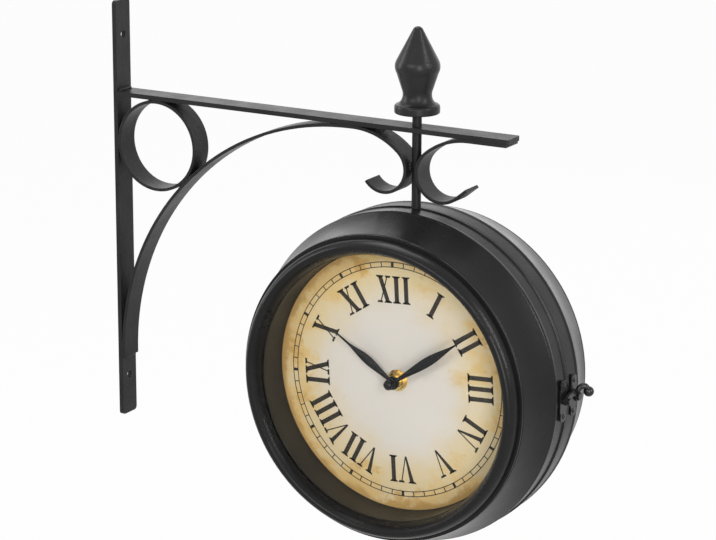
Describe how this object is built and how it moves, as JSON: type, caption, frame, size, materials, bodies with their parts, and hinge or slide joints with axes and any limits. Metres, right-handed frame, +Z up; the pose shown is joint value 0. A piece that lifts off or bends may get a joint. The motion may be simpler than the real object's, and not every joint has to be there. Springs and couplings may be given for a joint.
{
  "type": "double sided station clock",
  "caption": "Double sided round station clock hung by a rod from a scrolled iron wall bracket, with a hinged front half and a hook latch.",
  "frame": {"origin": "middle of the two wall holes, on the back face of the wall bar", "axes": "+X out from the wall along the arm, +Y from the front dial to the rear dial, +Z up"},
  "size_m": [0.3438, 0.1058, 0.3306],
  "materials": {
    "black_iron": "satin",
    "black_enamel": "satin",
    "clear_glass": "gloss",
    "dial_print": "matte",
    "black_moulding": "matte",
    "cell_jacket": "gloss",
    "turned_brass": "satin",
    "hand_enamel": "gloss",
    "bright_steel": "satin"
  },
  "bodies": {
    "bracket": {"wall_bar": "black_iron", "arm_bar": "black_iron", "scroll_ring": "black_iron", "brace_scroll": "black_iron", "end_scroll": "black_iron", "hanger_rod": "black_iron", "finial": "black_iron", "rod_nuts": "bright_steel", "rod_strap": "bright_steel", "rear_case": "black_enamel", "rear_bezel": "black_enamel", "rear_glass": "clear_glass", "rear_dial_ring": "black_enamel", "rear_dial": "dial_print", "rear_dial_posts": "bright_steel", "rear_dial_screws": "bright_steel", "rear_movement": "black_moulding", "rear_cell": "cell_jacket", "rear_bush": "turned_brass", "rear_dial_washer": "turned_brass", "rear_dial_nut": "turned_brass", "rear_rivets": "black_enamel", "rear_hinge_leaf": "black_enamel", "hinge_pin": "bright_steel", "hook_plate": "black_enamel", "hook_pivot": "black_enamel"},
    "front_door": {"front_case": "black_enamel", "front_bezel": "black_enamel", "front_glass": "clear_glass", "front_dial_ring": "black_enamel", "front_dial": "dial_print", "front_dial_posts": "bright_steel", "front_dial_screws": "bright_steel", "front_movement": "black_moulding", "front_cell": "cell_jacket", "front_bush": "turned_brass", "front_dial_washer": "turned_brass", "front_dial_nut": "turned_brass", "front_rivets": "black_enamel", "front_hinge_leaf": "black_enamel", "keeper_plate": "black_enamel", "keeper_stud": "black_enamel"},
    "latch_hook": {"latch_hook": "black_enamel"},
    "front_minute": {"front_minute_arbor": "turned_brass", "front_minute_hand": "hand_enamel", "front_hand_cap": "hand_enamel"},
    "front_hour": {"front_hour_pipe": "turned_brass", "front_hour_hand": "hand_enamel"},
    "front_knob": {"front_set_knob": "black_moulding"},
    "rear_minute": {"rear_minute_arbor": "turned_brass", "rear_minute_hand": "hand_enamel", "rear_hand_cap": "hand_enamel"},
    "rear_hour": {"rear_hour_pipe": "turned_brass", "rear_hour_hand": "hand_enamel"},
    "rear_knob": {"rear_set_knob": "black_moulding"}
  },
  "joints": [
    {"name": "door_hinge", "type": "hinge", "parent": "bracket", "child": "front_door", "pos_m": [0.11295, 0, -0.07969], "axis": [0, 0, -1], "range_deg": [0, 100]},
    {"name": "hook_lift", "type": "hinge", "parent": "bracket", "child": "latch_hook", "pos_m": [0.3335, 0.0069, -0.07969], "axis": [-1, 0, 0], "range_deg": [0, 75]},
    {"name": "front_minute_turn", "type": "hinge", "parent": "front_door", "child": "front_minute", "pos_m": [0.2235, -0.03, -0.07969], "axis": [0, 1, 0], "continuous": true},
    {"name": "front_hour_turn", "type": "hinge", "parent": "front_door", "child": "front_hour", "pos_m": [0.2235, -0.03, -0.07969], "axis": [0, 1, 0], "continuous": true},
    {"name": "front_knob_turn", "type": "hinge", "parent": "front_door", "child": "front_knob", "pos_m": [0.2085, -0.0045, -0.06469], "axis": [0, 1, 0], "continuous": true},
    {"name": "rear_minute_turn", "type": "hinge", "parent": "bracket", "child": "rear_minute", "pos_m": [0.2235, 0.03, -0.07969], "axis": [0, -1, 0], "continuous": true},
    {"name": "rear_hour_turn", "type": "hinge", "parent": "bracket", "child": "rear_hour", "pos_m": [0.2235, 0.03, -0.07969], "axis": [0, -1, 0], "continuous": true},
    {"name": "rear_knob_turn", "type": "hinge", "parent": "bracket", "child": "rear_knob", "pos_m": [0.2385, 0.0045, -0.06469], "axis": [0, -1, 0], "continuous": true}
  ],
  "couplings": [
    {"joint": "front_hour_turn", "follows": "front_minute_turn", "ratio": 0.083333},
    {"joint": "front_knob_turn", "follows": "front_minute_turn", "ratio": -1},
    {"joint": "rear_hour_turn", "follows": "rear_minute_turn", "ratio": 0.083333},
    {"joint": "rear_knob_turn", "follows": "rear_minute_turn", "ratio": -1}
  ]
}
